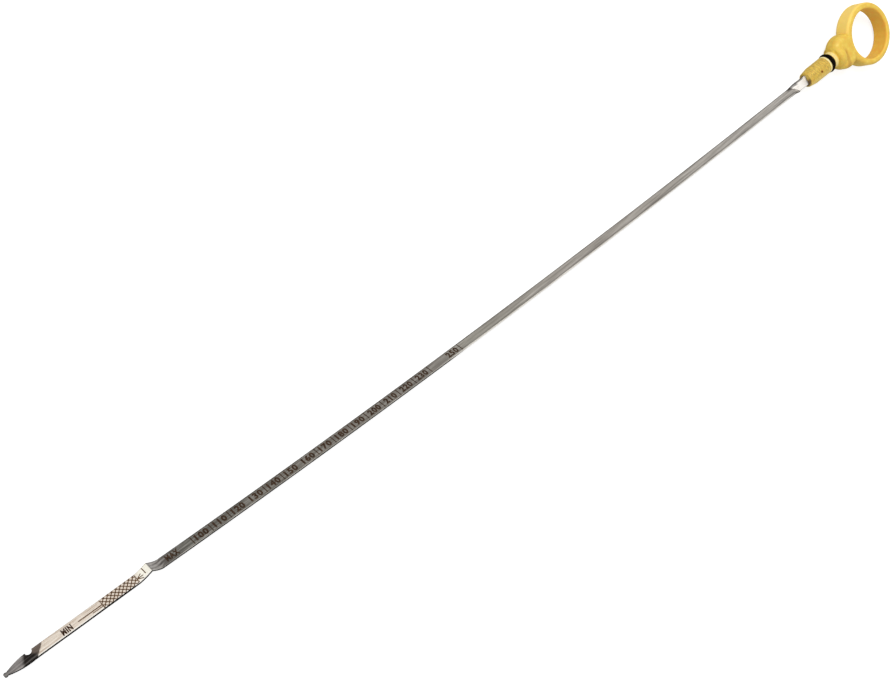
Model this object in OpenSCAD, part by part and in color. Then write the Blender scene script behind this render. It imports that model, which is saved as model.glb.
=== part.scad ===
// Engine oil dipstick: a long steel blade held in a yellow ring handle with a rubber seal.
// All lengths are millimetres. The stick's axis is X, with the tip at the far +X end, and the
// origin is on that axis in the middle of the stopper's plain round land. The part lies on a
// flat surface below it as it comes to rest: on the bulb, one side of the ring and the blade.

/* [Ring] */
// Outside diameter of the finger ring
ring_od = 36.6; // [34:0.2:42]
// Diameter of the finger hole
ring_id = 29.4; // [24:0.2:30]
// Width of the ring along its own axis
ring_w = 10.6; // [8:0.2:12]
// Rounding of the ring's outer edges
ring_edge_r = 2; // [0.5:0.1:2.6]
// Rounding of the ring's inner edges
hole_edge_r = 1.1; // [0.3:0.1:1.4]
// Distance from the seal to the centre of the ring
ring_reach = 35.4; // [34:0.2:40]

/* [Bulb] */
// Diameter of the bulb behind the seal, which turns about the stick's axis
bulb_d = 14.8; // [13:0.2:18]
// Length of the bulb along the axis
bulb_w = 5.6; // [5:0.2:8]
// Rounding of the bulb's edges
bulb_edge_r = 2.4; // [1:0.1:2.4]
// Distance from the seal to the middle of the bulb
bulb_reach = 8.2; // [7.6:0.2:11]
// Diameter of the rounded root that the ring grows from
root_d = 20.4; // [18:0.2:22]
// Distance from the seal to the centre of the root
root_reach = 14; // [12:0.2:16]
// Width of the root along the ring's axis
root_w = 10.6; // [9:0.2:12]
// Rounding of the root's edges
root_edge_r = 4; // [1:0.1:4.4]

/* [Stopper] */
// Diameter of the plain round land that fits the tube
land_d = 10.5; // [9.6:0.1:10.9]
// Length of the land along the axis
land_l = 13; // [8:0.2:14]
// Diameter of the stopper's small end
nose_d = 9; // [8:0.1:9.4]
// Length from the seal's middle to the small end
stopper_l = 20.2; // [19:0.2:26]
// Rounding of the small end's rim
nose_r = 0.6; // [0.3:0.1:0.7]
// Diameter of the collar behind the seal
collar_d = 10; // [9:0.1:11]
// Diameter of the small moulding pin hole over the tang
pin_hole_d = 1.4; // [1:0.1:2]
// Distance from the seal to the pin hole
pin_hole_reach = 11; // [9:0.2:14]

/* [Seal] */
// Outside diameter of the rubber ring
seal_od = 11.6; // [11.2:0.1:12.4]
// Thickness of the rubber ring's section
seal_t = 2.8; // [2:0.1:3]
// Gap between the rubber and its groove
seal_gap = 0.03; // [0.02:0.01:0.1]
// Play of the rubber at each side in its groove
seal_play = 0.15; // [0.05:0.05:0.4]

/* [Blade] */
// Width of the steel strip
blade_w = 6; // [5:0.1:6.4]
// Thickness of the steel strip
blade_t = 1; // [0.8:0.05:1.2]
// Distance from the seal to the end of the tip
blade_reach = 548.6; // [400:10:700]
// Rounding of the strip's long edges
blade_edge_r = 0.28; // [0.15:0.01:0.35]
// Sideways bow of the tip away from the handle's axis
bow = 15.2; // [0:0.2:25]
// How late along the strip the bow sets in
bow_power = 2.45; // [1.5:0.05:3]
// Depth that the tang goes into the stopper
tang_l = 18; // [14:0.5:19]
// Gap around the tang in its pocket
tang_gap = 0.05; // [0.03:0.01:0.15]
// Opening of the pocket's mouth across the strip's face
mouth_w = 2.6; // [1.4:0.1:3]
// Depth of the pocket's mouth
mouth_l = 2.4; // [1:0.2:4]

/* [Twist] */
// Angle that the strip turns through below the stopper
twist_angle = 62; // [30:1:90]
// Flat length between the stopper and the twist
twist_start = 5; // [2:0.2:10]
// Length of the twist
twist_l = 8.6; // [7:0.2:16]

/* [Kink] */
// Distance from the tip back to the pressed crease
kink_reach = 73; // [60:1:90]
// Height of the crease above the long part of the strip
kink_h = 2.6; // [0:0.1:3.4]
// Height of the measuring part above the long part of the strip
step_h = 0.7; // [0:0.1:1.5]
// Length of the slope on the handle's side
kink_back_l = 5; // [4:0.2:10]
// Length of the slope on the tip's side
kink_front_l = 7.5; // [5:0.5:12]
// Extra turn of the measuring part about the strip's length
measure_turn = 1; // [0:0.5:8]
// Angle that the crease sets the measuring part back by, against the bow
set_angle = 1.2; // [0:0.1:4]

/* [Tip] */
// Length of the taper that ends in the knob
taper_l = 12; // [6:0.5:12]
// Width of the neck behind the knob
neck_w = 1.7; // [1.4:0.1:3]
// Width of the knob at the very end
knob_w = 2.2; // [1.8:0.1:3.6]
// Length of the knob
knob_l = 1.6; // [1:0.1:3]
// Width left flat at the knob's very end
knob_end_w = 0.9; // [0.8:0.1:1.4]
// Diameter of the round notch in one edge
notch_d = 3.2; // [2:0.1:3.4]
// Distance from the tip back to the notch
notch_reach = 13.2; // [13:0.2:18]
// Distance of the notch's centre inside the edge
notch_in = 0.4; // [0:0.1:1.2]
// Length of the end part that curls
curl_l = 17; // [14:1:24]
// Fall of the curled end behind the strip's face
curl_h = 0.5; // [0:0.1:2]
// Turn of the curled end about the strip's length
curl_turn = 14; // [0:1:20]

/* [Hidden] */
$fn = 96;

// Places along the axis, from the middle of the land, positive towards the tip
groove_half = seal_t / 2 + seal_play;
seal_x = -(groove_half + land_l / 2);
land_front = land_l / 2;
nose_x = seal_x + stopper_l;
tip_x = seal_x + blade_reach;
ring_x = seal_x - ring_reach;
bulb_x = seal_x - bulb_reach;
root_x = seal_x - root_reach;
tang_x = nose_x - tang_l;
crease_x = tip_x - kink_reach;

ring_r = ring_od / 2;
hole_r = ring_id / 2;
bulb_r = bulb_d / 2;
root_r = root_d / 2;
seal_r = (seal_od - seal_t) / 2;
groove_r = seal_od / 2 - seal_t - seal_gap;

// The surface touches the bulb, and the handle rolls until the ring's rim touches it too
surface_z = -bulb_r;
rim_out = ring_r - ring_edge_r;
rim_up = ring_w / 2 - ring_edge_r;
rest_roll = asin((bulb_r - ring_edge_r) / norm([rim_out, rim_up])) - atan(rim_up / rim_out);

// Angle of the strip's face from +Z towards -Y: in the stopper, along the strip, at the scale
face_in_handle = -rest_roll;
face_long = face_in_handle + twist_angle;
face_measure = face_long + measure_turn;

// Drop of the strip from the axis to where its lower edge meets the surface
section_reach = blade_w / 2 * sin(face_measure) + blade_t / 2 * cos(face_measure);
drop = -surface_z - section_reach + step_h * cos(face_measure);

function ease(u) = let (v = min(max(u, 0), 1)) v * v * (3 - 2 * v);
function along(x) = min(max((x - nose_x) / (tip_x - nose_x), 0), 1);
function between(a, b, u) = a + (b - a) * u;

// Centre of the strip before the kink and the curl are added
function path_y(x) = -bow * pow(along(x), bow_power) + max(0, x - crease_x) * tan(set_angle);
function path_z(x) = -drop * ease(along(x));

// Face angle along the strip
function twist_u(x) = ease((x - nose_x - twist_start) / twist_l);
function measure_u(x) = ease((x - crease_x + kink_back_l) / (kink_back_l + kink_front_l));
function curl_u(x) = min(max((x - tip_x + curl_l) / curl_l, 0), 1);
function face(x) = face_in_handle + twist_angle * twist_u(x) + measure_turn * measure_u(x)
    - curl_turn * ease(curl_u(x));

// Height of the strip's middle along its own face normal
foot_power = 1.6;
function kink(x) =
    x < crease_x - kink_back_l ? 0 :
    x < crease_x ? kink_h * pow((x - crease_x + kink_back_l) / kink_back_l, foot_power) :
    x < crease_x + kink_front_l ?
        between(step_h, kink_h, pow(1 - (x - crease_x) / kink_front_l, foot_power)) :
    step_h;
function curl(x) = -curl_h * pow(curl_u(x), 2);

// Half of the strip's width along its length: the taper bulges a little, and the knob is round
taper_power = 1.65;
neck_x = tip_x - knob_l;
taper_x = tip_x - taper_l;
function knob_width(u) =
    u < 0.5 ? between(neck_w, knob_w, sin(180 * u)) :
    between(knob_w, knob_end_w, 1 - sqrt(max(0, 1 - pow(2 * u - 1, 2))));
function half_width(x) =
    x <= taper_x ? blade_w / 2 :
    x <= neck_x ? between(blade_w, neck_w, pow((x - taper_x) / (neck_x - taper_x), taper_power)) / 2 :
    knob_width((x - neck_x) / knob_l) / 2;

// Stations along the strip, closest where it turns, kinks and tapers
function steps(a, b, n) = [for (i = [0 : n - 1]) between(a, b, i / n)];
stations = concat(
    steps(tang_x, nose_x + twist_start, 2),
    steps(nose_x + twist_start, nose_x + twist_start + twist_l, 16),
    steps(nose_x + twist_start + twist_l, crease_x - kink_back_l, 24),
    steps(crease_x - kink_back_l, crease_x, 8),
    steps(crease_x, crease_x + kink_front_l, 8),
    steps(crease_x + kink_front_l, tip_x - curl_l, 4),
    steps(tip_x - curl_l, taper_x, 6),
    steps(taper_x, neck_x, 8),
    steps(neck_x, tip_x, 8),
    [tip_x]);

// Rounded outline of the strip's section, in its own width and thickness directions
corner_steps = 3;
function corner(cw, ct, from) = [for (i = [0 : corner_steps])
    let (a = from + 90 * i / corner_steps) [cw + blade_edge_r * cos(a), ct + blade_edge_r * sin(a)]];
function section(hw, ht) = let (w = hw - blade_edge_r, t = ht - blade_edge_r)
    concat(corner(w, t, 0), corner(-w, t, 90), corner(-w, -t, 180), corner(w, -t, 270));

// A point of the section set at its station: w lies across the face and t along its normal
function placed(x, p) = let (a = face(x), lift = p[1] + kink(x) + curl(x))
    [x, path_y(x) + p[0] * cos(a) - lift * sin(a), path_z(x) + p[0] * sin(a) + lift * cos(a)];

module swept_strip() {
    rings = [for (x = stations) [for (p = section(half_width(x), blade_t / 2)) placed(x, p)]];
    n = len(rings[0]);
    last = len(rings) - 1;
    sides = [for (i = [0 : last - 1], j = [0 : n - 1])
        let (k = (j + 1) % n) each [
            [i * n + j, (i + 1) * n + j, (i + 1) * n + k],
            [i * n + j, (i + 1) * n + k, i * n + k]]];
    start_cap = [for (j = [0 : n - 1]) j];
    end_cap = [for (j = [n - 1 : -1 : 0]) last * n + j];
    polyhedron(points = [for (r = rings) each r], faces = concat([start_cap], sides, [end_cap]));
}

// Turns children with the strip's face at a place along it, so that +Z is the face's normal
module on_face(x) {
    translate([x, path_y(x), path_z(x)])
        rotate([face(x), 0, 0])
            translate([0, 0, kink(x) + curl(x)])
                children();
}

module blade() {
    notch_x = tip_x - notch_reach;
    color([0.66, 0.65, 0.63])
        difference() {
            swept_strip();
            on_face(notch_x)
                translate([0, -blade_w / 2 + notch_in, -blade_t])
                    cylinder(d = notch_d, h = 2 * blade_t, $fn = 32);
        }
}

// Half outline of everything turned about the axis: x along the axis, y the radius
module turned_outline() {
    collar_x = seal_x - groove_half;
    rim_cut = nose_r * (1 - cos(45));
    polygon([
        [bulb_x, 0],
        [nose_x, 0],
        [nose_x, nose_d / 2 - nose_r],
        [nose_x - rim_cut, nose_d / 2 - rim_cut],
        [nose_x - nose_r, nose_d / 2],
        [land_front, land_d / 2],
        [-land_front, land_d / 2],
        [-land_front, groove_r],
        [collar_x, groove_r],
        [collar_x, collar_d / 2],
        [bulb_x, collar_d / 2]]);
}

module bulb() {
    translate([bulb_x, 0, 0])
        rotate([0, 90, 0])
            rounded_disc(bulb_r, bulb_w, bulb_edge_r);
}

// A flat round body about Z, with its outer edges rounded
module rounded_disc(r, w, edge_r) {
    rotate_extrude()
        difference() {
            translate([0, -w / 2]) square([r, w]);
            for (s = [-1, 1])
                edge_cut(r, s * w / 2, edge_r, 1, s);
        }
}

// The finger hole with its rounded rims, as the shape that is taken out
module finger_hole() {
    translate([ring_x, 0, 0])
        rotate_extrude() {
            translate([0, -bulb_d / 2]) square([hole_r, bulb_d]);
            for (s = [-1, 1])
                edge_cut(hole_r, s * ring_w / 2, hole_edge_r, -1, s);
        }
}

// Takes a square corner at (x, y) back to a round of radius r; sx and sy point out of it
module edge_cut(x, y, r, sx, sy) {
    translate([x - sx * r, y - sy * r])
        difference() {
            scale([sx, sy]) square(r + 1);
            circle(r);
        }
}

// The tang's place inside the stopper, with its gap all round and a wider mouth
module tang_pocket() {
    w = blade_w + 2 * tang_gap;
    t = blade_t + 2 * tang_gap;
    translate([tang_x - tang_gap, -w / 2, -t / 2])
        cube([tang_l + 1, w, t]);
    translate([nose_x - mouth_l, -w / 2, -mouth_w / 2])
        cube([mouth_l + 1, w, mouth_w]);
}

module handle() {
    color([0.93, 0.76, 0.27])
        rotate([-rest_roll, 0, 0])
            difference() {
                union() {
                    rotate([90, 0, 0])
                        rotate([0, 90, 0])
                            rotate_extrude()
                                rotate(90)
                                    mirror([0, 1])
                                        turned_outline();
                    bulb();
                    translate([root_x, 0, 0]) rounded_disc(root_r, root_w, root_edge_r);
                    translate([ring_x, 0, 0]) rounded_disc(ring_r, ring_w, ring_edge_r);
                }
                finger_hole();
                tang_pocket();
                translate([seal_x + pin_hole_reach, 0, 0])
                    cylinder(d = pin_hole_d, h = land_d);
            }
}

module o_ring() {
    color([0.08, 0.08, 0.08])
        translate([seal_x, 0, 0])
            rotate([0, 90, 0])
                rotate_extrude()
                    translate([seal_r, 0])
                        circle(d = seal_t, $fn = 48);
}

blade();
handle();
o_ring();
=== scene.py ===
# %% [markdown]
# # An engine oil dipstick, dressed for the camera
#
# A dipstick is three things put together: a long flat steel blade, a moulded yellow handle
# with a finger ring, and a black rubber ring that seals the tube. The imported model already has
# these shapes, so this lesson adds what the model leaves out: the finishes, and the marks on
# the blade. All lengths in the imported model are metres.

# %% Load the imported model
import math

import bmesh
import bpy
from mathutils import Matrix, Vector


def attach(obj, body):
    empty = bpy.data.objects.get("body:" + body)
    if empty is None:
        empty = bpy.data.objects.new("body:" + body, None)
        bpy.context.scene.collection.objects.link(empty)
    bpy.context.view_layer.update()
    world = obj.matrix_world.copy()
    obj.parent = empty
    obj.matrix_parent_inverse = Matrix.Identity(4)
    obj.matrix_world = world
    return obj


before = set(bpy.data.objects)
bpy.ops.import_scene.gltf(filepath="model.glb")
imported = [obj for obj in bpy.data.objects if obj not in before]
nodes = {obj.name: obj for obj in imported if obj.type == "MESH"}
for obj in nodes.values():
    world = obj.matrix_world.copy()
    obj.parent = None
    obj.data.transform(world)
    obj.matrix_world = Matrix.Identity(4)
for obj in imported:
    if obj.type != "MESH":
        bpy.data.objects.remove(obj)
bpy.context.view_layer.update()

print("nodes:", sorted(nodes))

# %% [markdown]
# ## Sizes that the model and the marks share
#
# A mark on the blade has to follow the blade: its slow bow, its twist, the pressed kink and the
# curled tip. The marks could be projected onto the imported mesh, but that smears them where the
# strip turns. The blade was made by moving one section along a path, so the same path is
# written here again, in millimetres, and every mark is laid along it.

# %% Sizes of the stick, in millimetres
MM, MM_PER_METRE = 0.001, 1000
SEAL_X = -8.05
NOSE_REACH, BLADE_REACH = 20.2, 548.6
RING_REACH, BULB_REACH, PIN_REACH, KINK_REACH = 35.4, 8.2, 11, 73
RING_R, HOLE_R, RING_W, RING_EDGE_R = 18.3, 14.7, 10.6, 2.0
BULB_R = 7.4
BLADE_W, BLADE_T = 6.0, 1.0
BOW, BOW_POWER = 15.2, 2.45
TWIST_ANGLE, TWIST_START, TWIST_L = 62, 5, 8.6
KINK_H, STEP_H, KINK_BACK_L, KINK_FRONT_L, FOOT_POWER = 2.6, 0.7, 5, 7.5, 1.6
MEASURE_TURN, SET_ANGLE = 1, 1.2
CURL_L, CURL_H, CURL_TURN = 17, 0.5, 14

NOSE_X = SEAL_X + NOSE_REACH
TIP_X = SEAL_X + BLADE_REACH
RING_X = SEAL_X - RING_REACH
BULB_X = SEAL_X - BULB_REACH
PIN_X = SEAL_X + PIN_REACH
CREASE_X = TIP_X - KINK_REACH
SURFACE_Z = -BULB_R
print(f"the stick reaches from {RING_X - RING_R:.2f} to {TIP_X:.2f} mm")

# %% How far the handle rolls and the blade drops, so that both rest on the floor
rim_out = RING_R - RING_EDGE_R
rim_up = RING_W / 2 - RING_EDGE_R
rim_rise = math.asin((BULB_R - RING_EDGE_R) / math.hypot(rim_out, rim_up))
ROLL = math.degrees(rim_rise - math.atan(rim_up / rim_out))
face_turn = math.radians(-ROLL + TWIST_ANGLE + MEASURE_TURN)
section_reach = BLADE_W / 2 * math.sin(face_turn) + BLADE_T / 2 * math.cos(face_turn)
DROP = BULB_R - section_reach + STEP_H * math.cos(face_turn)
print(f"the handle rolls {ROLL:.2f} degrees, the blade drops {DROP:.2f} mm")


# %% The blade's path
def clamp(u):
    return min(max(u, 0), 1)


def ease(u):
    v = clamp(u)
    return v * v * (3 - 2 * v)


def along(x):
    return clamp((x - NOSE_X) / (TIP_X - NOSE_X))


def path_y(x):
    bow = -BOW * along(x) ** BOW_POWER
    return bow + max(0, x - CREASE_X) * math.tan(math.radians(SET_ANGLE))


def path_z(x):
    return -DROP * ease(along(x))


def face_angle(x):
    turn = TWIST_ANGLE * ease((x - NOSE_X - TWIST_START) / TWIST_L)
    turn += MEASURE_TURN * ease((x - CREASE_X + KINK_BACK_L) / (KINK_BACK_L + KINK_FRONT_L))
    return -ROLL + turn - CURL_TURN * ease((x - TIP_X + CURL_L) / CURL_L)


def lift(x):
    """How far the pressed kink and the curl move the strip's middle off its path."""
    curl = -CURL_H * clamp((x - TIP_X + CURL_L) / CURL_L) ** 2
    if x < CREASE_X:
        back = clamp((x - CREASE_X + KINK_BACK_L) / KINK_BACK_L)
        return curl + KINK_H * back**FOOT_POWER
    foot = clamp(1 - (x - CREASE_X) / KINK_FRONT_L) ** FOOT_POWER
    return curl + STEP_H + (KINK_H - STEP_H) * foot


def on_blade(x, across, above):
    """A point in metres: x along the stick, across the face, and above the face, in mm."""
    a = math.radians(face_angle(x))
    up = BLADE_T / 2 + above + lift(x)
    y = path_y(x) + across * math.cos(a) - up * math.sin(a)
    z = path_z(x) + across * math.sin(a) + up * math.cos(a)
    return Vector((x, y, z)) * MM


crease_middle = on_blade(CREASE_X, 0, 0)
print("the crease is at", [round(v * MM_PER_METRE, 2) for v in crease_middle], "mm")

# %% [markdown]
# ## Writing materials as sums
#
# A procedural material is a graph of small nodes. It can be drawn by hand in the shader editor,
# but a long one is hard to follow there. Written as Python sums it is easier to read and to
# change: one class wraps a socket, and each operator adds the Math node that does the sum.


# %% A socket that can be added and multiplied
class Value:
    def __init__(self, graph, socket):
        self.graph, self.socket = graph, socket

    def maths(self, operation, *others):
        node = self.graph.node("ShaderNodeMath", {"operation": operation}, {0: self})
        for place, other in enumerate(others, start=1):
            self.graph.feed(node.inputs[place], other)
        return Value(self.graph, node.outputs[0])

    def __add__(self, other):
        return self.maths("ADD", other)

    __radd__ = __add__

    def __sub__(self, other):
        return self.maths("SUBTRACT", other)

    def __rsub__(self, other):
        return (self * -1) + other

    def __mul__(self, other):
        return self.maths("MULTIPLY", other)

    __rmul__ = __mul__

    def __truediv__(self, other):
        return self.maths("DIVIDE", other)

    def __pow__(self, other):
        return self.maths("POWER", other)

    def clamp(self):
        return self.maths("MAXIMUM", 0).maths("MINIMUM", 1)

    def step(self, low, high):
        """0 below low, 1 above high, and a smooth rise between them."""
        u = ((self - low) / (high - low)).clamp()
        return u * u * (3 - 2 * u)

    def band(self, start, full, fade, end):
        """0 before start and after end, and 1 from full to fade."""
        return self.step(start, full) * (1 - self.step(fade, end))


print("a wrapped socket can be added, multiplied, clamped, stepped and banded")


# %% The one method that adds a node
class Graph:
    """The node tree of a material or a world."""

    def __init__(self, owner):
        owner.use_nodes = True
        self.tree = owner.node_tree
        self.tree.nodes.clear()

    def feed(self, socket, value):
        if isinstance(value, Value):
            self.tree.links.new(value.socket, socket)
        elif isinstance(value, bpy.types.NodeSocket):
            self.tree.links.new(value, socket)
        else:
            socket.default_value = value

    def node(self, kind, settings=None, inputs=None):
        made = self.tree.nodes.new(kind)
        for key, value in (settings or {}).items():
            setattr(made, key, value)
        for key, value in (inputs or {}).items():
            self.feed(made.inputs[key], value)
        return made


# %% A material's colours, noises and surfaces
class Shader(Graph):
    """One material: where its points are, what colours they have, and its surface."""

    def __init__(self, name):
        self.material = bpy.data.materials.new(name)
        super().__init__(self.material)

    def position(self):
        """x, y and z of the surface in millimetres."""
        where = self.node("ShaderNodeTexCoord").outputs["Object"]
        parts = self.node("ShaderNodeSeparateXYZ", inputs={0: where})
        return [Value(self, parts.outputs[k]) * MM_PER_METRE for k in range(3)]

    def noise(self, scale, detail, stretch=(1, 1, 1)):
        """A noise from 0 to 1. Scale is in features for each metre."""
        where = self.node("ShaderNodeTexCoord").outputs["Object"]
        placed = self.node("ShaderNodeMapping", inputs={"Vector": where, "Scale": stretch})
        settings = {"Vector": placed.outputs[0], "Scale": scale, "Detail": detail}
        return Value(self, self.node("ShaderNodeTexNoise", inputs=settings).outputs["Fac"])

    def blend(self, factor, first, second):
        """A colour between two colours. The Mix node keeps the factor from 0 to 1."""
        made = self.node("ShaderNodeMix", {"data_type": "RGBA"})
        for key, value in (("Factor_Float", factor), ("A_Color", first), ("B_Color", second)):
            socket = [s for s in made.inputs if s.identifier == key][0]
            self.feed(socket, value)
        return [s for s in made.outputs if s.identifier == "Result_Color"][0]

    def tint(self, base, amount, colour, strength):
        """The base moved towards a colour."""
        return self.blend(amount * strength, base, colour)

    def ramp(self, factor, stops):
        """A colour that goes through the stops, each a place from 0 to 1 and its colour."""
        made = self.node("ShaderNodeValToRGB", inputs={0: factor})
        elements = made.color_ramp.elements
        while len(elements) < len(stops):
            elements.new(0.5)
        for element, (place, colour) in zip(elements, stops):
            element.position = place
            element.color = colour
        return made.outputs[0]

    def bump(self, height, strength, distance):
        inputs = {"Height": height, "Strength": strength, "Distance": distance}
        return self.node("ShaderNodeBump", inputs=inputs).outputs[0]

    def surface(self, **inputs):
        names = {key.replace("_", " "): value for key, value in inputs.items()}
        return self.node("ShaderNodeBsdfPrincipled", inputs=names).outputs[0]

    def pick(self, factor, first, second):
        """The first surface where the factor is 0, the second where it is 1."""
        both = self.node("ShaderNodeMixShader", inputs={0: factor, 1: first, 2: second})
        return both.outputs[0]

    def finish(self, surface):
        self.node("ShaderNodeOutputMaterial", inputs={"Surface": surface})
        return self.material


# %% Colours as they look on the screen
def ink(red, green, blue):
    """A colour given as 0 to 255 on the screen, as the shader wants it."""

    def linear(v):
        v /= 255
        return v / 12.92 if v <= 0.04045 else ((v + 0.055) / 1.055) ** 2.4

    return (linear(red), linear(green), linear(blue), 1)


NOISE_MIDDLE = 0.5
print("a middle grey of the screen is", round(ink(128, 128, 128)[0], 3), "in the shader")

# %% [markdown]
# ## The steel
#
# The blade is one strip with several finishes. The long part is rolled steel, grey and streaked
# along its length, and painted darker or lighter along the way as the reflection on it changes.
# The measuring part is duller, and painted pale where its face reflects the lamps. The tip is
# painted nearly black, with a slanted edge to the dark, as the dark reflection of its curled
# end.
# The strip could be cut up and each length given a material of its own, but it is one piece of
# steel. So one material chooses its colour by the place along the stick.

# %% Greys of the strip, each with its distance from the tip in millimetres
# The face's greys are the steel's own grey with painted reflection: darker along the marked
# length, lighter towards the handle, and bright on the slope behind the kink.
FACE_TONE_AND_REFLECTION = [
    (518, ink(190, 185, 178)),
    (491, ink(184, 179, 172)),
    (406, ink(173, 167, 159)),
    (326, ink(174, 168, 160)),
    (259, ink(163, 159, 149)),
    (242, ink(144, 139, 132)),
    (157, ink(132, 127, 119)),
    (91, ink(108, 106, 99)),
    (79, ink(106, 101, 97)),
    (76.8, ink(150, 145, 140)),
    (75.5, ink(196, 191, 186)),
    (73.2, ink(208, 204, 199)),
]
# The sides' greys are painted light and shade: dark by the stopper, pale where the side faces
# the lamps, and near black along the marked length and past the kink.
SIDE_LIGHT_AND_SHADE = [
    (528, ink(70, 60, 54)),
    (516, ink(96, 88, 80)),
    (508, ink(226, 222, 216)),
    (258, ink(226, 222, 216)),
    (246, ink(54, 52, 48)),
    (157, ink(36, 34, 31)),
    (100, ink(24, 22, 20)),
    (75, ink(38, 36, 34)),
    (72.9, ink(10, 8, 7)),
    (0, ink(12, 11, 10)),
]
# Greys of the tip's point, painted as the reflection of the curled end.
TIP_REFLECTED_GREYS = [
    (8, ink(132, 127, 125)),
    (5.5, ink(138, 133, 131)),
    (2.5, ink(104, 101, 99)),
]
print(len(FACE_TONE_AND_REFLECTION) + len(SIDE_LIGHT_AND_SHADE) + len(TIP_REFLECTED_GREYS), "greys along the strip")


# %% Where a point lies on the strip, worked out in the shader
CREASE_BLUR = 0.01


def lift_value(x):
    """The same as lift, for a wrapped socket."""
    back = ((x - (CREASE_X - KINK_BACK_L)) / KINK_BACK_L).clamp() ** FOOT_POWER * KINK_H
    foot = (1 - (x - CREASE_X) / KINK_FRONT_L).clamp() ** FOOT_POWER * (KINK_H - STEP_H)
    past = x.step(CREASE_X - CREASE_BLUR, CREASE_X + CREASE_BLUR)
    curl = ((x - (TIP_X - CURL_L)) / CURL_L).clamp() ** 2 * CURL_H
    return back * (1 - past) + (foot + STEP_H) * past - curl


def strip_place(shader):
    """x along, across the face, and above the strip's middle, all in millimetres."""
    x, y, z = shader.position()
    u = ((x - NOSE_X) / (TIP_X - NOSE_X)).clamp()
    past_crease = (x - CREASE_X).maths("MAXIMUM", 0)
    y_off = y + u**BOW_POWER * BOW - past_crease * math.tan(math.radians(SET_ANGLE))
    z_off = z + u * u * (3 - 2 * u) * DROP
    twist = x.step(NOSE_X + TWIST_START, NOSE_X + TWIST_START + TWIST_L) * TWIST_ANGLE
    settle = x.step(CREASE_X - KINK_BACK_L, CREASE_X + KINK_FRONT_L) * MEASURE_TURN
    curl = x.step(TIP_X - CURL_L, TIP_X) * CURL_TURN
    angle = (twist + settle - curl - ROLL) * math.radians(1)
    c, s = angle.maths("COSINE"), angle.maths("SINE")
    across = y_off * c + z_off * s
    above = z_off * c - y_off * s - lift_value(x)
    return x, y, across, above


# %% The strip's place and grain, shared by all its zones
STREAK_SCALE, STREAK_STRETCH, STREAK_SHADE = 1300, 0.03, 2.1
FINE_SCALE, FINE_STRETCH = 5200, 0.04
STRIP_CLOUD_SCALE = 60


class StripShader(Shader):
    """A material that knows where each point lies on the strip."""

    def __init__(self, name):
        super().__init__(name)
        self.x, self.y, self.across, self.above = strip_place(self)
        self.upward = self.across * -1
        self.from_nose = self.x - NOSE_X
        self.from_tip = TIP_X - self.x
        self.streak = self.noise(STREAK_SCALE, 4, stretch=(STREAK_STRETCH, 1, 1))
        self.fine = self.noise(FINE_SCALE, 2, stretch=(FINE_STRETCH, 1, 1))
        self.cloud = self.noise(STRIP_CLOUD_SCALE, 2)
        self.shade = (self.streak - NOISE_MIDDLE) * STREAK_SHADE + (self.fine - NOISE_MIDDLE)

    def greys(self, greys):
        """A colour that goes from grey to grey along the strip."""
        length = TIP_X - NOSE_X
        stops = [(1 - far / length, grey) for far, grey in greys]
        return self.ramp((self.from_nose / length).clamp(), stops)


print("streaks are about", round(MM_PER_METRE / STREAK_SCALE, 2), "mm wide")

# %% [markdown]
# ### The long part
#
# Rolled steel shows streaks along its length, and its edges catch less light than its face. A
# picture of steel could be wrapped round it, but it would repeat. So a noise is stretched along
# the strip and lightens and darkens the greys. Thin lines are drawn along both edges: a line of
# painted shade along the upper edge, a painted highlight along the lower edge of the marked
# length, and a thin dark line near the lower edge of the plain steel.

# %% Colours of the long part, each with its strength
LIGHT_STREAK = ink(226, 222, 216), 0.8
DARK_STREAK = ink(34, 31, 28), 0.8
BROWN_CLOUD = ink(96, 84, 72), 0.5
INNER_LINE_LOOK = ink(20, 18, 16), 0.42
LOW_EDGE_HIGHLIGHT = ink(210, 206, 200), 0.1
TOP_SHADE_LINE, TOP_SHADE_STRENGTH, TOP_SHADE_FADE = ink(20, 18, 16), 0.62, 0.1

# places across the face, and where the dark marked length ends, from the tip
TOP_EDGE = 2.1, 2.6
LOW_EDGE = 2.4, 2.75
INNER_LINE = 1.7, 2.0, 2.3, 2.6
MARKED_END = 245, 256


def long_part(m):
    plain = m.from_tip.step(*MARKED_END)
    marked = 1 - plain
    base = m.greys(FACE_TONE_AND_REFLECTION)
    base = m.tint(base, m.shade, *LIGHT_STREAK)
    base = m.tint(base, m.shade * -1, *DARK_STREAK)
    base = m.tint(base, m.cloud - NOISE_MIDDLE, *BROWN_CLOUD)
    # A line of painted shade along the upper edge of the face, weaker on the marked length.
    top_shade_strength = TOP_SHADE_STRENGTH - marked * TOP_SHADE_FADE
    base = m.tint(base, m.upward.step(*TOP_EDGE), TOP_SHADE_LINE, top_shade_strength)
    base = m.tint(base, m.across.band(*INNER_LINE) * plain, *INNER_LINE_LOOK)
    # A painted highlight along the lower edge of the marked length.
    return m.tint(base, m.across.step(*LOW_EDGE) * marked, *LOW_EDGE_HIGHLIGHT)


print("the plain steel starts", MARKED_END[1], "mm from the tip")

# %% [markdown]
# ### The flat facet by the stopper
#
# Where the strip leaves the stopper it is still flat and catches the light. This facet ends at
# a slanted crease, where the twist begins. The light alone doesn't give so crisp a crease on a
# smooth twist, so the bright facet, the fold and the dark outlines are part of the material.

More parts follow.
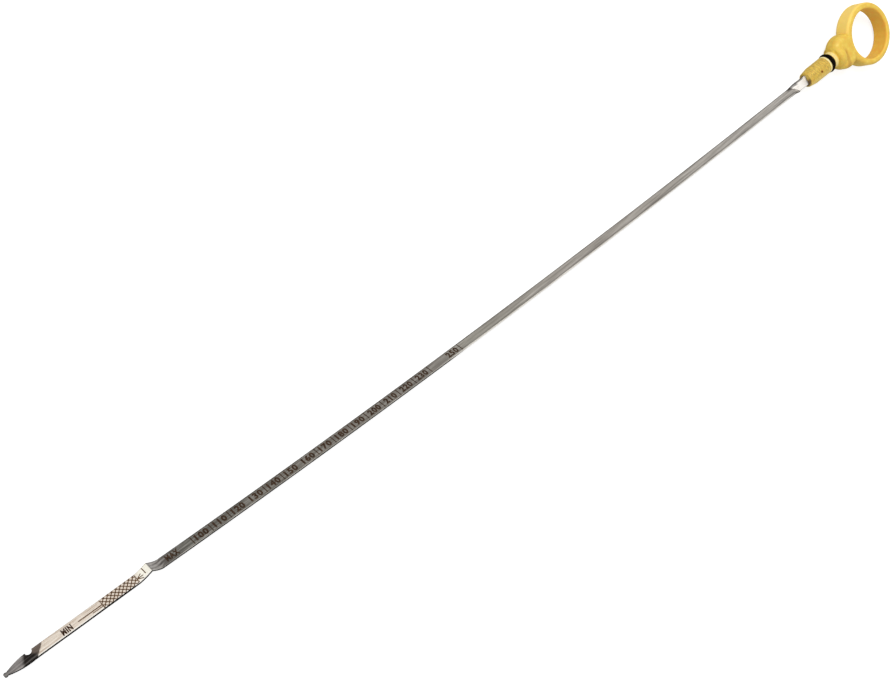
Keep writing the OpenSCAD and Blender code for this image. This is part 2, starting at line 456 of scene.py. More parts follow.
# %% The facet, its fold and its outlines
FACET_SLANT, FACET_L = 0.83, 10.45
FACET_EDGE = -0.3, 0.3
FACET_COLOURS = ink(250, 247, 243), ink(240, 234, 226)
FOLD, FOLD_LOOK = (-0.6, -0.1, 0.3, 1.8), (ink(60, 48, 42), 0.6)
NEAR_TWIST, IN_TWIST = (0.5, 3, 12, 16), (6, 8, 13, 16)
TOP_OUTLINE, LOW_OUTLINE, LOW_OUTLINE_STRENGTH = (1.9, 2.4), (2.3, 2.7), 0.5
OUTLINE_LOOK = ink(40, 34, 30), 0.8
TWIST_SHADE, TWIST_SHADE_LOOK = (0.9, 1.6), (ink(40, 34, 30), 0.75)


def stopper_facet(m, base):
    past_facet = m.from_nose + m.y * FACET_SLANT - FACET_L
    facet = 1 - past_facet.step(*FACET_EDGE)
    base = m.blend(facet, base, m.blend(m.cloud, *FACET_COLOURS))
    base = m.tint(base, past_facet.band(*FOLD), *FOLD_LOOK)
    low_outline = m.across.step(*LOW_OUTLINE) * LOW_OUTLINE_STRENGTH
    outline = m.upward.step(*TOP_OUTLINE) + low_outline
    base = m.tint(base, outline * m.from_nose.band(*NEAR_TWIST), *OUTLINE_LOOK)
    twist_shade = m.upward.step(*TWIST_SHADE) * m.from_nose.band(*IN_TWIST)
    return m.tint(base, twist_shade, *TWIST_SHADE_LOOK), facet


print("the facet ends about", FACET_L, "mm from the stopper")

# %% [markdown]
# ### The measuring part
#
# Past the kink the face is dull and a little tan. Its pale colour is painted, as the reflection
# of the lamps on it, and the slope that faces the light is painted nearly white. Blasting leaves
# a fine grain rather than a gloss. The same two noises as on the long part give it, with other
# colours, because the rolled streaks still show through.

# %% The pale face with its painted reflection, highlights and shade, and the pressed crease
PALE_LIT_FACE, TAN_FACE = ink(240, 230, 216), ink(202, 185, 168)
TAN_GAIN, TAN_START = 2.8, 0.9
WHITE_GRAIN = ink(252, 248, 240), 2.4
TAN_GRAIN, TAN_GRAIN_BELOW = (ink(150, 126, 104), 2.6), 0.46
SLOPE_HIGHLIGHT, SLOPE_HIGHLIGHT_START = ink(252, 249, 236), (65, 69)
TAN_TOP_SHADE = ink(130, 104, 88), 0.2
WHITE_LOW_HIGHLIGHT, WHITE_LOW_HIGHLIGHT_AT = (ink(252, 249, 242), 0.7), (1.9, 2.4)
PALE_START = CREASE_X - 0.1, CREASE_X + 0.1
CREASE_LINE = CREASE_X - 0.6, CREASE_X - 0.2, CREASE_X, CREASE_X + 0.2
CREASE_SHADE = ink(70, 62, 56), 0.3


def measuring_part(m, base):
    # The pale colour is painted reflection of the lamps, with tan and white grain in it.
    pale = m.blend(m.streak * TAN_GAIN - TAN_START, PALE_LIT_FACE, TAN_FACE)
    pale = m.tint(pale, m.fine - NOISE_MIDDLE, *WHITE_GRAIN)
    pale = m.tint(pale, TAN_GRAIN_BELOW - m.fine, *TAN_GRAIN)
    # A painted highlight on the slope that faces the light.
    pale = m.blend(m.from_tip.step(*SLOPE_HIGHLIGHT_START), pale, SLOPE_HIGHLIGHT)
    # Painted shade along the upper edge, and a painted highlight along the lower edge.
    pale = m.tint(pale, m.upward.step(*TOP_EDGE), *TAN_TOP_SHADE)
    pale = m.tint(pale, m.across.step(*WHITE_LOW_HIGHLIGHT_AT), *WHITE_LOW_HIGHLIGHT)
    measuring = m.x.step(*PALE_START)
    base = m.blend(measuring, base, pale)
    # Painted shade in the pressed crease.
    return m.tint(base, m.x.band(*CREASE_LINE), *CREASE_SHADE), measuring


print("the pale face starts at", round(CREASE_X, 2), "mm")

# %% [markdown]
# ### Curved reflections behind the crease
#
# The slope behind the crease is bent, and light and dark lines of reflection curve across it.
# They are painted: a sine across the face, bent along the strip, draws them.

# %% The painted reflections on the slope
SLOPE = CREASE_X - 7, CREASE_X - 5, CREASE_X - 0.6, CREASE_X - 0.2
LINES_ACROSS, LINES_BEND = 3, 0.12
LIGHT_SLOPE_REFLECTION, DARK_SLOPE_REFLECTION = (ink(200, 196, 192), 0.5), (ink(70, 64, 62), 0.45)


def drawn_lines(m, base):
    # Light and dark curved lines, painted as reflections on the bent slope.
    bend = (CREASE_X - m.x) ** 2 * LINES_BEND
    lines = (m.across * LINES_ACROSS + bend).maths("SINE")
    wave = (lines + m.fine - NOISE_MIDDLE) * m.x.band(*SLOPE)
    base = m.tint(base, wave, *LIGHT_SLOPE_REFLECTION)
    return m.tint(base, wave * -1, *DARK_SLOPE_REFLECTION)


print("a drawn line at every", round(2 * math.pi / LINES_ACROSS, 2), "mm across the face")

# %% [markdown]
# ### The dark tip
#
# The curled end turns its face towards darker surroundings, so it is painted with the dark
# reflection it shows: brown at a slanted edge, then black, and grey again towards the point. A
# painted mask could hold these edges, but they are only slanted lines with an uneven rim, so a
# depth along the strip, shifted by a noise and by the place across, is enough.

# %% The edges and colours of the tip's painted reflection
TIP_SHADE_L, DARK_L, TIP_GREY_L = 17.75, 2.9, 8.4
TIP_SHADE_EDGE, DARK_BLUR, TIP_GREY_BLUR = (-0.3, 0.4), 1.3, 0.9
TIP_SHADE_SLANT, DARK_SLANT, TIP_GREY_SLANT = 0.75, 0.7, 0.44
RIM_SCALE, RIM_SHIFT = 500, 1.6
TIP_SHADE_BROWNS, TIP_SHADE_BLACK = (ink(142, 126, 114), ink(112, 100, 92)), ink(44, 40, 38)
TIP_STREAK, TIP_STREAK_ON_GREY, TIP_STREAK_LEAST = ink(200, 195, 190), 0.5, 0.25
TIP_DARK_STREAK = ink(20, 18, 17), 0.8


def dipped_tip(m, base):
    # The tip's band is painted dark reflection of the curled end: brown, then black, then grey.
    uneven = m.noise(RIM_SCALE, 3)
    depth = TIP_SHADE_L - m.from_tip + (uneven - NOISE_MIDDLE) * RIM_SHIFT
    tip_shaded = (depth - m.across * TIP_SHADE_SLANT).step(*TIP_SHADE_EDGE)
    dark = (depth + m.across * DARK_SLANT).step(DARK_L - DARK_BLUR, DARK_L + DARK_BLUR)
    tip_grey = (depth - m.across * TIP_GREY_SLANT).step(TIP_GREY_L - TIP_GREY_BLUR, TIP_GREY_L + TIP_GREY_BLUR)
    tip = m.blend(uneven, *TIP_SHADE_BROWNS)
    tip = m.blend(dark, tip, TIP_SHADE_BLACK)
    tip = m.blend(tip_grey, tip, m.greys(TIP_REFLECTED_GREYS))
    tip = m.tint(tip, m.shade, TIP_STREAK, tip_grey * TIP_STREAK_ON_GREY + TIP_STREAK_LEAST)
    tip = m.tint(tip, m.shade * -1, *TIP_DARK_STREAK)
    return m.blend(tip_shaded, base, tip), tip_shaded


print("the dip reaches", TIP_SHADE_L, "mm up from the tip")

# %% [markdown]
# ### The sheared sides
#
# The strip was sheared from sheet, so its narrow sides are rough and hardly reflect. Their
# colour
# is painted light and shade: pale where a side faces the lamps, near black where it lies in
# shade. Darker paint on the same steel would still shine at a low angle. So the sides get a
# second, dull surface, and a mask picks it between the face and the back, and along a line of
# painted shade at the measuring part's lower edge.

# %% Where the dull surface shows
SIDE_TOP, SIDE_TOP_RISE = (0.3, 0.47), 0.05
SIDE_BACK = -0.48, -0.36
EDGE_SHADE_ACROSS, EDGE_SHADE_GROWTH, EDGE_SHADE_GROWS_AT = (2.7, 2.9), 0.07, (38, 56)
EDGE_SHADE_ABOVE, EDGE_SHADE_END = (0, 0.1), (62, 68)


def sheared_side(m, measuring, tip_shaded):
    below_face = m.above - measuring * SIDE_TOP_RISE
    side = (1 - below_face.step(*SIDE_TOP)) * m.above.step(*SIDE_BACK)
    # A line of painted shade along the measuring part's lower edge.
    growth = m.from_tip.step(*EDGE_SHADE_GROWS_AT) * EDGE_SHADE_GROWTH
    edge_shade = (m.across + growth).step(*EDGE_SHADE_ACROSS) * m.above.step(*EDGE_SHADE_ABOVE)
    edge_shade = edge_shade * (1 - m.from_tip.step(*EDGE_SHADE_END)) * measuring * (1 - tip_shaded)
    return side.maths("MAXIMUM", edge_shade)


print("the sides are", BLADE_T, "mm high")

# %% [markdown]
# ### The whole strip
#
# Each zone is laid over the one before, and the result is the colour of one metal surface. The
# pale measuring part and the bright facet are less metallic, so that their painted pale colour
# holds whatever stands round them.

# %% The blade's material
BLASTED_LOSS, FACET_LOSS = 0.55, 0.85
STEEL_ROUGH, STREAK_ROUGH, BLASTED_ROUGH = 0.42, 0.3, 0.2
STREAK_HEIGHT, FINE_HEIGHT, GRAIN_STRENGTH, GRAIN_DEPTH = 0.6, 0.4, 0.2, 0.00005
SIDE_ROUGH, SIDE_GLOSS = 0.9, 0.05


def steel_material():
    m = StripShader("rolled steel")
    base, facet = stopper_facet(m, long_part(m))
    base, measuring = measuring_part(m, base)
    base, tip_shaded = dipped_tip(m, drawn_lines(m, base))
    blasted = measuring * (1 - tip_shaded)
    streak_rough = (m.streak - NOISE_MIDDLE) * STREAK_ROUGH
    height = m.streak * STREAK_HEIGHT + m.fine * FINE_HEIGHT
    rolled = m.surface(
        Base_Color=base,
        Metallic=(1 - blasted * BLASTED_LOSS - facet * FACET_LOSS).clamp(),
        Roughness=streak_rough + STEEL_ROUGH + blasted * BLASTED_ROUGH,
        Normal=m.bump(height, GRAIN_STRENGTH, GRAIN_DEPTH),
    )
    sheared = m.surface(
        Base_Color=m.greys(SIDE_LIGHT_AND_SHADE),
        Roughness=SIDE_ROUGH,
        Specular_IOR_Level=SIDE_GLOSS,
    )
    return m.finish(m.pick(sheared_side(m, measuring, tip_shaded), rolled, sheared))


# %% Give the blade its steel
def dress(node_name, material):
    mesh = nodes[node_name].data
    mesh.materials[0] = material
    print(node_name, "wears", material.name, "in", len(material.node_tree.nodes), "nodes")


dress("blade", steel_material())

# %% [markdown]
# ## The yellow handle
#
# The handle is moulded in a yellow plastic that has been in warm oil vapour. It is never one
# flat yellow: soft clouds vary it between two yellows, with orange and pale spots. The wall
# inside the ring and the valley behind the bulb are painted towards orange as shade, and the
# ring's outer wall and one side of the stopper are painted paler as light. As on the blade, one
# material goes over the whole moulding and picks its colours by place. The handle is rolled a
# little about the stick, so "across" is measured in the ring's own plane.

# %% The handle's place and clouds
CLOUD_SCALE, SPOT_SCALE = 130, 420
YELLOWS = ink(216, 179, 60), ink(230, 197, 80)
ORANGE_SPOT, ORANGE_ABOVE = (ink(224, 160, 52), 2.2), 0.48
PALE_SPOT, PALE_BELOW = (ink(250, 224, 118), 1.6), 0.46


class HandleShader(Shader):
    """A material that knows where each point lies on the handle."""

    def __init__(self, name):
        super().__init__(name)
        self.x, self.y, self.z = self.position()
        roll = math.radians(ROLL)
        self.across = self.y * math.cos(roll) - self.z * math.sin(roll)
        self.cloud = self.noise(CLOUD_SCALE, 3)
        self.spots = self.noise(SPOT_SCALE, 3)


def cloudy_yellow(m):
    base = m.blend(m.cloud, *YELLOWS)
    base = m.tint(base, m.spots - ORANGE_ABOVE, *ORANGE_SPOT)
    return m.tint(base, PALE_BELOW - m.spots, *PALE_SPOT)


print("clouds are about", round(MM_PER_METRE / CLOUD_SCALE, 1), "mm wide")

# %% [markdown]
# ### The finger ring
#
# A finger goes through the ring. The wall inside it is painted warmer, as shade, and the wall
# outside is painted paler as light, most of all on the side that faces the lamps. The distance
# from the ring's centre tells the two walls apart, and the neck is left out, because there the
# ring runs into the bulb.

# %% Inside and outside walls of the ring
HOLE_WALL, HOLE_END = (HOLE_R - 0.2, HOLE_R + 1.2), (RING_X + 12, RING_X + 16)
INSIDE_WALL_SHADE = ink(248, 188, 66), 0.5
WALL_SPOT, WALL_SPOT_GAIN = ink(244, 174, 62), 2.4
OUTER_WALL = RING_R - 1.1, RING_R - 0.1, RING_R + 0.1, RING_R + 0.7
NECK, BESIDE_NECK = (RING_X + 10, RING_X + 14), (6.8, 9.6)
LIT_FORWARD, LIT_SIDE_RANGE = 0.5, (0.1, 0.9)
LIT_WALL_YELLOW, LIT_GAIN, LIT_LEAST = ink(255, 217, 110), 0.5, 0.4


def finger_ring(m, base):
    forward = m.x - RING_X
    radius = (forward**2 + m.across**2) ** 0.5
    inside = (1 - radius.step(*HOLE_WALL)) * (1 - m.x.step(*HOLE_END))
    # Painted shade inside the ring: a warmer orange.
    base = m.tint(base, inside, *INSIDE_WALL_SHADE)
    wall_spots = ((m.spots - NOISE_MIDDLE) * WALL_SPOT_GAIN).clamp()
    base = m.blend(wall_spots * inside, base, WALL_SPOT)
    beside_neck = (m.across * -1).step(*BESIDE_NECK)
    off_neck = (1 - m.x.step(*NECK)).maths("MAXIMUM", beside_neck)
    outside = radius.band(*OUTER_WALL) * off_neck
    # Painted light on the outer wall, strongest on the side that faces the lamps.
    lit_side = ((forward * LIT_FORWARD - m.across) / RING_R).step(*LIT_SIDE_RANGE)
    return m.tint(base, outside, LIT_WALL_YELLOW, lit_side * LIT_GAIN + LIT_LEAST)


print("the finger hole is", 2 * HOLE_R, "mm wide")

# %% [markdown]
# ### The bulb and the stopper
#
# The valley behind the bulb is painted browner on its side away from the lamps, as shade. The
# stopper is rubbed by the tube each time the stick is pushed home, so a fine noise, stretched
# round it, dirties it. Its side away from the key lamp is painted lighter, as light. Both could
# be painted by hand on an unwrapped mesh, but the places are simple lengths of the moulding, so
# the same steps and bands find them.

# %% The valley's painted shade, the rubbed stopper and its painted light
VALLEY = BULB_X - 5.8, BULB_X - 4.2, BULB_X - 2.8, BULB_X - 1.8
VALLEY_UP, VALLEY_ACROSS = (1, 3), (-3.5, 0)
VALLEY_SHADE = ink(168, 112, 26), 0.5
STOPPER_START = SEAL_X + 1, SEAL_X + 3
RUB_SCALE, RUB_STRETCH, RUB_ABOVE = 1500, (1, 0.4, 0.4), 0.3
RUB_LOOK = ink(150, 122, 50), 2
LIGHTENED_SIDE, STOPPER_PAINTED_LIGHT = (1.5, 4), (ink(255, 224, 124), 0.5)


def bulb_and_stopper(m, base):
    # Painted shade in the valley behind the bulb, on the side away from the lamps.
    valley = m.x.band(*VALLEY) * m.z.step(*VALLEY_UP) * m.across.step(*VALLEY_ACROSS)
    base = m.tint(base, valley, *VALLEY_SHADE)
    stopper = m.x.step(*STOPPER_START)
    rub = m.noise(RUB_SCALE, 3, stretch=RUB_STRETCH)
    base = m.tint(base, stopper * (rub - RUB_ABOVE).clamp(), *RUB_LOOK)
    # Painted light on the stopper's side away from the key lamp.
    return m.tint(base, stopper * m.y.step(*LIGHTENED_SIDE), *STOPPER_PAINTED_LIGHT)


print("the nose is", NOSE_REACH, "mm from the seal")

# %% [markdown]
# ### Rims, the small hole and the mouth
#
# A pale band is painted on each side of the seal, as highlights on the groove's edges, and the
# groove between them is painted dark, as its shadow. The small hole over the blade is painted
# brown, as shade, and so is the mouth that the blade comes out of, on its side away from the key
# lamp. The holes themselves are in the imported model, so only their colours are added.

# %% Colours round the seal, the hole and the mouth
RIM = SEAL_X + 1.8, SEAL_X + 2.1, SEAL_X + 2.7, SEAL_X + 3.2
COLLAR = SEAL_X - 5, SEAL_X - 4, SEAL_X - 2.4, SEAL_X - 2
SEAT = SEAL_X - 2, SEAL_X - 1.8, SEAL_X + 1.7, SEAL_X + 1.9
RIM_HIGHLIGHT, RIM_STRENGTH, COLLAR_STRENGTH = ink(250, 236, 176), 0.8, 0.5
SEAT_SHADOW = ink(40, 26, 12)
PIN_RIM, PIN_ABOVE, PIN_HOLE_SHADE = (0.7, 1.1), (0, 1), (ink(176, 100, 30), 0.8)
MOUTH_DEPTH, MOUTH_RIM = (NOSE_X - 2.6, NOSE_X - 2.2), (3.2, 3.8)
NOSE_FACE, NOSE_STRENGTH = (NOSE_X - 0.3, NOSE_X - 0.05), 0.45
MOUTH_SIDE, MOUTH_SHADE_BROWN = (-1, 1.5), ink(88, 64, 26)


def rims_and_holes(m, base):
    # Painted highlights on the groove's edges beside the seal.
    rims = m.x.band(*RIM) * RIM_STRENGTH + m.x.band(*COLLAR) * COLLAR_STRENGTH
    base = m.blend(rims, base, RIM_HIGHLIGHT)
    # Painted shadow in the groove under the seal.
    base = m.blend(m.x.band(*SEAT), base, SEAT_SHADOW)
    # Painted shade in the small hole.
    from_pin = ((m.x - PIN_X) ** 2 + m.across**2) ** 0.5
    pin_hole = (1 - from_pin.step(*PIN_RIM)) * m.z.step(*PIN_ABOVE)
    base = m.tint(base, pin_hole, *PIN_HOLE_SHADE)
    # Painted shade in the mouth and on the nose, on the side away from the key lamp.
    from_axis = (m.y * m.y + m.z * m.z) ** 0.5
    mouth = m.x.step(*MOUTH_DEPTH) * (1 - from_axis.step(*MOUTH_RIM))
    nose = m.x.step(*NOSE_FACE) * NOSE_STRENGTH
    return m.blend((mouth + nose).clamp() * m.y.step(*MOUTH_SIDE), base, MOUTH_SHADE_BROWN)


print("the seat is", round(SEAT[3] - SEAT[0], 1), "mm long")

# %% [markdown]
# ### The whole handle
#
# Moulded plastic lets a little light in and gives it back softly, so the surface scatters under
# the skin. A plain hard surface would look like paint. A very fine bump keeps the gloss from
# being a mirror.

# %% The handle's material
PLASTIC_ROUGH, CLOUD_ROUGH = 0.52, 0.2
PLASTIC_GRAIN_SCALE, PLASTIC_GRAIN, PLASTIC_GRAIN_DEPTH = 2600, 0.12, 0.0001
SCATTER, SCATTER_DEPTH, SCATTER_COLOURS = 0.12, 0.004, (1.0, 0.6, 0.2)


def yellow_material():
    m = HandleShader("yellow moulding")
    base = finger_ring(m, cloudy_yellow(m))
    base = rims_and_holes(m, bulb_and_stopper(m, base))
    grain = m.noise(PLASTIC_GRAIN_SCALE, 2)
    moulded = m.surface(
        Base_Color=base,
        Roughness=PLASTIC_ROUGH + (m.cloud - NOISE_MIDDLE) * CLOUD_ROUGH,
        Normal=m.bump(grain, PLASTIC_GRAIN, PLASTIC_GRAIN_DEPTH),
        Subsurface_Weight=SCATTER,
        Subsurface_Scale=SCATTER_DEPTH,
        Subsurface_Radius=SCATTER_COLOURS,
    )
    return m.finish(moulded)


dress("handle", yellow_material())

# %% [markdown]
# ## The rubber seal
#
# The seal is a ring of black rubber, darkened by oil. Pure black looks like a hole in the
# picture, so a faint brown bloom varies the black and the sheen, and almost no gloss is left.

# %% The seal's material
BLOOM_SCALE, RUBBER_ROUGH, BLOOM_ROUGH, RUBBER_GLOSS = 700, 0.7, 0.3, 0.02
RUBBER_BLACKS = ink(7, 5, 3), ink(20, 14, 8)


def rubber_material():
    m = Shader("black rubber")
    bloom = m.noise(BLOOM_SCALE, 3)
    rubber = m.surface(
        Base_Color=m.blend(bloom, *RUBBER_BLACKS),
        Roughness=RUBBER_ROUGH + (bloom - NOISE_MIDDLE) * BLOOM_ROUGH,
        Specular_IOR_Level=RUBBER_GLOSS,
    )
    return m.finish(rubber)


dress("o_ring", rubber_material())

# %% [markdown]
# ## Marks on the blade
#
# The marks are burnt and blackened into the steel. They could be drawn in the material, but
# letters are hard to write as sums. So they are very thin solids that lie just proud of the
# face. Each starts as a flat mesh, and one function then lays its points along the blade's
# path, so that a straight mark bends where the strip bends.

# %% Lay a flat mesh on the blade
MARK_TOP, MARK_SUNK = 0.03, 0.02
BAR_STEP = 1.5


def lay_on_blade(bm):
    """The flat mesh has x along and y across, in millimetres, and z 0 below and 1 on top."""
    for vert in bm.verts:
        above = MARK_TOP if vert.co.z > 0.5 else -MARK_SUNK
        vert.co = on_blade(vert.co.x, vert.co.y, above)
    bmesh.ops.recalc_face_normals(bm, faces=bm.faces)


def add_to(bm, part):
    """Move one small mesh into the piece that it belongs to."""
    carrier = bpy.data.meshes.new("carrier")
    part.to_mesh(carrier)
    part.free()
    bm.from_mesh(carrier)
    bpy.data.meshes.remove(carrier)


def add_line(bm, start, end, width):
    """A straight mark from start to end, each (x, across), as a thin bar of short lengths."""
    a, b = Vector(start), Vector(end)
    length = (b - a).length
    lengths = max(2, int(length / BAR_STEP))
    part = bmesh.new()
    bmesh.ops.create_grid(part, x_segments=lengths, y_segments=1, size=0.5)
    raised = bmesh.ops.extrude_face_region(part, geom=part.faces[:])
    top = [v for v in raised["geom"] if isinstance(v, bmesh.types.BMVert)]
    bmesh.ops.translate(part, verts=top, vec=(0, 0, 1))
    middle = (a + b) / 2
    place = Matrix.Translation((middle.x, middle.y, 0))
    turn = Matrix.Rotation(math.atan2(b.y - a.y, b.x - a.x), 4, "Z")
    size = Matrix.Diagonal((length, width, 1, 1))
    bmesh.ops.transform(part, matrix=place @ turn @ size, verts=part.verts)
    add_to(bm, part)


def finish_marks(name, bm, material):
    """Lay the marks on the blade and make them one piece that moves with it."""
    lay_on_blade(bm)
    mesh = bpy.data.meshes.new(name)
    bm.to_mesh(mesh)
    bm.free()
    mesh.materials.append(material)
    piece = bpy.data.objects.new(name, mesh)
    bpy.context.scene.collection.objects.link(piece)
    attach(piece, "root")
    print(name, len(mesh.polygons), "faces")


# %% Inks of the marks
PATCH_SCALE, PATCH_GAIN, PATCH_START = 1400, 2.4, 0.7
INK_ROUGH, INK_GLOSS = 0.7, 0.05


def mark_material(name, dark, light):
    m = Shader(name)
    patch = m.noise(PATCH_SCALE, 3)
    base = m.blend(patch * PATCH_GAIN - PATCH_START, dark, light)
    return m.finish(
        m.surface(Base_Color=base, Roughness=INK_ROUGH, Specular_IOR_Level=INK_GLOSS)
    )


brown_ink = mark_material("burnt brown mark", ink(72, 47, 25), ink(108, 77, 47))
dark_ink = mark_material("blackened mark", ink(40, 25, 16), ink(72, 50, 36))
worn_ink = mark_material("worn brown mark", ink(36, 24, 15), ink(80, 62, 48))
print("inks:", brown_ink.name, "/", dark_ink.name, "/", worn_ink.name)

# %% [markdown]
# ### The hatched zone
#
# The level is read on a zone of crossed lines that holds a film of oil. The lines slant both
# ways and stop at the zone's border. A wave texture could draw them, but it would not stop so
# cleanly, so each line is a bar whose ends are cut to the border.

# %% Crossed lines of the hatched zone
HATCH_START, HATCH_END = TIP_X - 66.1, TIP_X - 48.1
HATCH_HALF, HATCH_PITCH, HATCH_SLOPE = 2.75, 2.16, 1.18
HATCH_LINE, BORDER_LINE = 0.46, 0.28
FIRST_CROSSING, CROSSING_ACROSS = HATCH_START + 1.95, -0.9
CROSSINGS = range(-3, 12)
LEAST_RISE, BORDER_SLACK = 0.5, 0.01


def clipped(centre, slope):
    """Ends of a slanted line through (centre, CROSSING_ACROSS), cut to the zone's border."""
    ends = []
    for across in (-HATCH_HALF, HATCH_HALF):
        x = centre + (across - CROSSING_ACROSS) / slope
        inside = min(max(x, HATCH_START), HATCH_END)
        ends.append((inside, across + (inside - x) * slope))
    return ends


def in_zone(start, end):
    """Whether a cut line still lies in the zone and is long enough to draw."""
    furthest = max(abs(start[1]), abs(end[1]))
    return furthest <= HATCH_HALF + BORDER_SLACK and abs(end[1] - start[1]) > LEAST_RISE


def make_hatch():
    bm = bmesh.new()
    slopes = (-HATCH_SLOPE, HATCH_SLOPE)
    centres = [FIRST_CROSSING + k * HATCH_PITCH for k in CROSSINGS]
    lines = [clipped(centre, slope) for slope in slopes for centre in centres]
    drawn = [ends for ends in lines if in_zone(*ends)]
    for start, end in drawn:
        add_line(bm, start, end, HATCH_LINE)
    for x in (HATCH_START, HATCH_END):
        add_line(bm, (x, -HATCH_HALF), (x, HATCH_HALF), BORDER_LINE)
    finish_marks("hatch_lines", bm, brown_ink)
    print(len(drawn), "slanted lines")


make_hatch()

# %% [markdown]
# ### Single lines
#
# Between the kink and the hatched zone there are a few short lines, and a long fine one runs
# from the hatched zone towards the lower mark. They follow no pattern, so each is given by its
# distance from the tip and its place across the face, at both ends, and by its width.

# %% Short and long lines
LINES = [
    ((70.3, -2.6), (70.4, 1.3), 0.42),
    ((66.2, 0.4), (68.6, -0.8), 0.44),
    ((66.2, 0.4), (69.2, 0.9), 0.44),
    ((66.2, 0.4), (68.7, 2.5), 0.44),
    ((48.2, 0.35), (36.2, 0.3), 0.56),
    ((48.3, 1.5), (43.0, 1.35), 0.42),
]


def make_lines():
    bm = bmesh.new()
    for (far, w0), (near, w1), width in LINES:
        add_line(bm, (TIP_X - far, w0), (TIP_X - near, w1), width)
    finish_marks("level_lines", bm, brown_ink)


make_lines()

# %% [markdown]
# ### Words and numbers
#
# The two levels are named with the plain words that every such stick has. They read from the
# tip towards the handle. Letters could be traced as outlines, but Blender's own text curve is
# quicker and cleaner: it becomes a mesh, is stretched to its place, and is then laid on the
# blade as the lines are.


# %% Turn words into marks
LETTER_SPACING = 1.15
LETTER_CURVE_STEPS = 3
MERGE_DISTANCE = 1e-5


def text_mesh(text, bold):
    """A text as a loose mesh one unit high and one unit thick."""
    curve = bpy.data.curves.new("words", "FONT")
    curve.body = text
    curve.size = 1
    curve.extrude = 0.5
    curve.offset = bold
    curve.space_character = LETTER_SPACING
    curve.resolution_u = LETTER_CURVE_STEPS
    holder = bpy.data.objects.new("words", curve)
    bpy.context.scene.collection.objects.link(holder)
    bpy.context.view_layer.update()
    graph = bpy.context.evaluated_depsgraph_get()
    mesh = bpy.data.meshes.new_from_object(holder.evaluated_get(graph))
    bpy.data.objects.remove(holder)
    bpy.data.curves.remove(curve)
    return mesh


def add_words(bm, text, start, length, height, bold, middle=0.0):
    """Text whose first letter is at start, reaching length towards the handle."""
    mesh = text_mesh(text, bold)
    letters = bmesh.new()
    letters.from_mesh(mesh)
    bpy.data.meshes.remove(mesh)
    bmesh.ops.remove_doubles(letters, verts=letters.verts, dist=MERGE_DISTANCE)
    xs = [v.co.x for v in letters.verts]
    ys = [v.co.y for v in letters.verts]
    wide, tall = max(xs) - min(xs), max(ys) - min(ys)
    for v in letters.verts:
        u = (v.co.x - min(xs)) / wide
        w = (v.co.y - (min(ys) + max(ys)) / 2) / tall
        v.co = Vector((start - u * length, middle - w * height, 1 if v.co.z > 0 else 0))
    add_to(bm, letters)


# %% The two level words
def make_lower_word():
    bm = bmesh.new()
    add_words(bm, "MIN", TIP_X - 28.1, length=5.0, height=3.8, bold=0.05, middle=0.3)
    finish_marks("lower_level_word", bm, dark_ink)


def make_upper_word():
    bm = bmesh.new()
    add_words(bm, "MAX", TIP_X - 80.9, length=6.7, height=3.9, bold=0.045)
    finish_marks("upper_level_word", bm, worn_ink)


make_lower_word()
make_upper_word()

# %% [markdown]
# ### A plain scale
#
# The dark part of the blade carries a plain millimetre scale in five blocks, counted from the
# tip: a number at every ten, and one line over the whole face halfway between two numbers. It
# is made from the same bars and words, so it bends with the strip as they do.

# %% A millimetre scale in five blocks
SCALE_BLOCKS = [(95, 120), (130, 150), (160, 215), (220, 235), (250, 255)]
SCALE_STEP, NUMBER_STEP = 5, 10
NUMBER_LENGTH, NUMBER_HEIGHT, NUMBER_BOLD = 6.8, 4, 0.05
LINE_REACH, LINE_WIDTH = 2.6, 0.45


def add_scale_mark(bm, mark):
    x = TIP_X - mark
    if mark % NUMBER_STEP == 0:
        start = x + NUMBER_LENGTH / 2
        add_words(bm, str(mark), start, NUMBER_LENGTH, NUMBER_HEIGHT, NUMBER_BOLD)
    else:
        add_line(bm, (x, -LINE_REACH), (x, LINE_REACH), LINE_WIDTH)


def make_scale():
    bm = bmesh.new()
    for near, far in SCALE_BLOCKS:
        for mark in range(near, far + 1, SCALE_STEP):
            add_scale_mark(bm, mark)
    finish_marks("running_scale", bm, worn_ink)


make_scale()

# %% [markdown]
# ## The floor
#
# The stick lies on a pale sheet that runs to white. A plain white sheet would be grey wherever
# the light falls off. So the sheet sends a little light of its own to the camera alone, reads
# white where nothing shades it, and still keeps the stick's soft shadow.

# %% The pale sheet
SHEET_GREY, SHEET_GLOW = 0.5, 0.7
SHEET_REACH, SHEET_GAP = 3, 0.00002


def floor_material():
    m = Shader("pale sheet")
    ray = m.node("ShaderNodeLightPath")
    grey = (SHEET_GREY, SHEET_GREY, SHEET_GREY, 1)
    plain = m.node("ShaderNodeBsdfDiffuse", inputs={"Color": grey}).outputs[0]
    glow = m.node("ShaderNodeEmission", inputs={"Color": (1, 1, 1, 1), "Strength": SHEET_GLOW})
    both = m.node("ShaderNodeAddShader", inputs={0: plain, 1: glow.outputs[0]}).outputs[0]
    return m.finish(m.pick(ray.outputs["Is Camera Ray"], plain, both))


def make_floor():
    bm = bmesh.new()
    bmesh.ops.create_grid(bm, x_segments=1, y_segments=1, size=SHEET_REACH)
    bmesh.ops.translate(bm, verts=bm.verts, vec=(0, 0, SURFACE_Z * MM - SHEET_GAP))
    mesh = bpy.data.meshes.new("floor")
    bm.to_mesh(mesh)
    bm.free()
    mesh.materials.append(floor_material())
    floor = bpy.data.objects.new("floor", mesh)
    bpy.context.scene.collection.objects.link(floor)
    print("floor at", round(SURFACE_Z, 2), "mm")


make_floor()

# %% [markdown]
# ## The light
#
# A photographer's table has soft light from all round and two large lamps. The world gives the
# soft light, and is pure white only where the camera looks past the sheet or steel mirrors it.
# A brighter world would wash out the shadow. Two wide discs, one stronger, give it a direction.

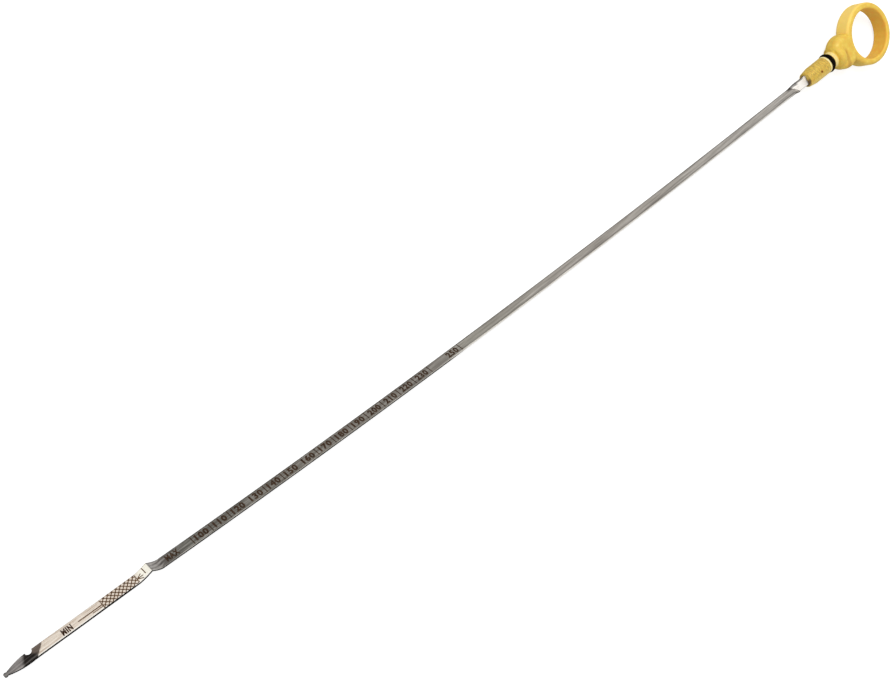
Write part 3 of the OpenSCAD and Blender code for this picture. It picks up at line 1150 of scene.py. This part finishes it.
# %% The world
PLAIN_LIGHT, WHITE_LIGHT = 0.58, 1.0


def make_world():
    world = bpy.data.worlds.new("studio")
    g = Graph(world)
    ray = g.node("ShaderNodeLightPath")
    white = (1, 1, 1, 1)
    plain = g.node("ShaderNodeBackground", inputs={"Color": white, "Strength": PLAIN_LIGHT})
    bright = g.node("ShaderNodeBackground", inputs={"Color": white, "Strength": WHITE_LIGHT})
    camera_ray = Value(g, ray.outputs["Is Camera Ray"])
    seen = camera_ray.maths("MAXIMUM", ray.outputs["Is Glossy Ray"])
    inputs = {0: seen, 1: plain.outputs[0], 2: bright.outputs[0]}
    both = g.node("ShaderNodeMixShader", inputs=inputs)
    g.node("ShaderNodeOutputWorld", inputs={"Surface": both.outputs[0]})
    bpy.context.scene.world = world
    print("world lights with", PLAIN_LIGHT, "and shows", WHITE_LIGHT)


make_world()

# %% The lamps: place, width and power
STICK_MIDDLE = Vector((0.24, 0, 0))
LAMPS = {
    "key": ((0.1, -0.9, 1.3), 1.1, 14.5),
    "fill": ((0.9, 0.8, 1.4), 1.4, 6),
}


def add_lamp(name, place, size, power):
    light = bpy.data.lights.new(name, "AREA")
    light.shape = "DISK"
    light.size = size
    light.energy = power
    lamp = bpy.data.objects.new(name, light)
    lamp.location = place
    lamp.rotation_euler = (STICK_MIDDLE - Vector(place)).to_track_quat("-Z", "Y").to_euler()
    bpy.context.scene.collection.objects.link(lamp)
    print("lamp", name, power, "W")


for lamp_name, (lamp_place, lamp_size, lamp_power) in LAMPS.items():
    add_lamp(lamp_name, lamp_place, lamp_size, lamp_power)

# %% [markdown]
# ## The camera
#
# The camera stands close above the tip and looks along the stick, so that the measuring part is
# large and the handle far. It could be aimed at a target, but the picture also leans, so its
# look and its up are both written down.

# %% Place the camera
CAMERA_PLACE = Vector((520.63176, -146.42303, 547.47197)) * MM
CAMERA_LOOK = Vector((-0.37814434, 0.22264874, -0.89857415))
CAMERA_UP = Vector((-0.57288401, -0.81875333, 0.03821779))
LENS, SENSOR, NEAREST = 49.774, 36, 0.01


def add_camera():
    camera = bpy.data.cameras.new("camera")
    camera.sensor_width = SENSOR
    camera.lens = LENS
    camera.clip_start = NEAREST
    holder = bpy.data.objects.new("camera", camera)
    back = -CAMERA_LOOK.normalized()
    right = CAMERA_UP.cross(back).normalized()
    turn = Matrix((right, back.cross(right), back)).transposed().to_4x4()
    holder.matrix_world = Matrix.Translation(CAMERA_PLACE) @ turn
    bpy.context.scene.collection.objects.link(holder)
    bpy.context.scene.camera = holder
    print("camera", [round(v, 3) for v in CAMERA_PLACE])


add_camera()
bpy.context.scene.view_settings.view_transform = "Standard"
